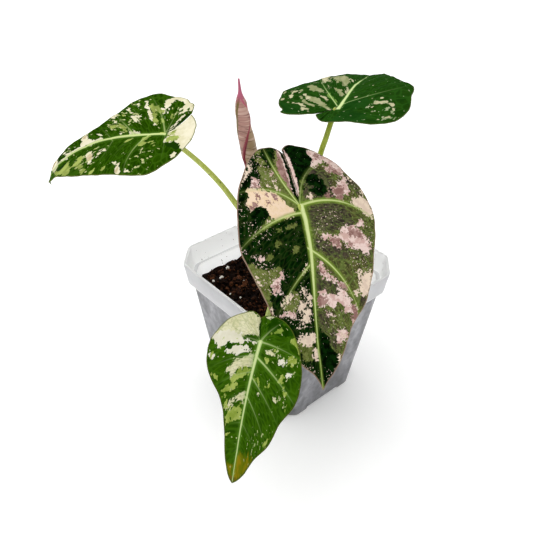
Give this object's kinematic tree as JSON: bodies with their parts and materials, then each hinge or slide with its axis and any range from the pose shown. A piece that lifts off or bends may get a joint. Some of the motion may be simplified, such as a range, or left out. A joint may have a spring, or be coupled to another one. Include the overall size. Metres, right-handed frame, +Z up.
{
  "type": "potted alocasia",
  "caption": "Young variegated house plant with marbled heart-shaped leaves on slender stalks and a rolled new leaf, in a square frosted plastic nursery pot of bark mix",
  "frame": {"origin": "the bottom centre of the box that holds the whole plant and pot, on the plane of the pot's feet", "axes": "+Z up; X and Y square to the pot's walls"},
  "size_m": [0.1968, 0.225, 0.1975],
  "materials": {
    "frosted_plastic": "frosted, translucent",
    "potting_mix": "rough, damp bark and peat",
    "crown": "satin plant tissue",
    "leaf_front": "satin, marbled green, pink and cream",
    "leaf_low": "satin, green marbled with cream",
    "leaf_left": "satin, green marbled with cream",
    "leaf_right": "satin, dark green with cream flecks",
    "leaf_new": "satin, dusty pink and olive",
    "stalk_front": "smooth, yellow-green",
    "stalk_low": "smooth, yellow-green",
    "stalk_left": "smooth, yellow-green",
    "stalk_right": "smooth, yellow-green",
    "stalk_new": "smooth, yellow-green"
  },
  "bodies": {
    "root": {"pot": "frosted_plastic", "potting_mix": "potting_mix", "crown": "crown", "leaf_front": "leaf_front", "leaf_low": "leaf_low", "leaf_left": "leaf_left", "leaf_right": "leaf_right", "leaf_new": "leaf_new", "stalk_front": "stalk_front", "stalk_low": "stalk_low", "stalk_left": "stalk_left", "stalk_right": "stalk_right", "stalk_new": "stalk_new"}
  },
  "joints": []
}
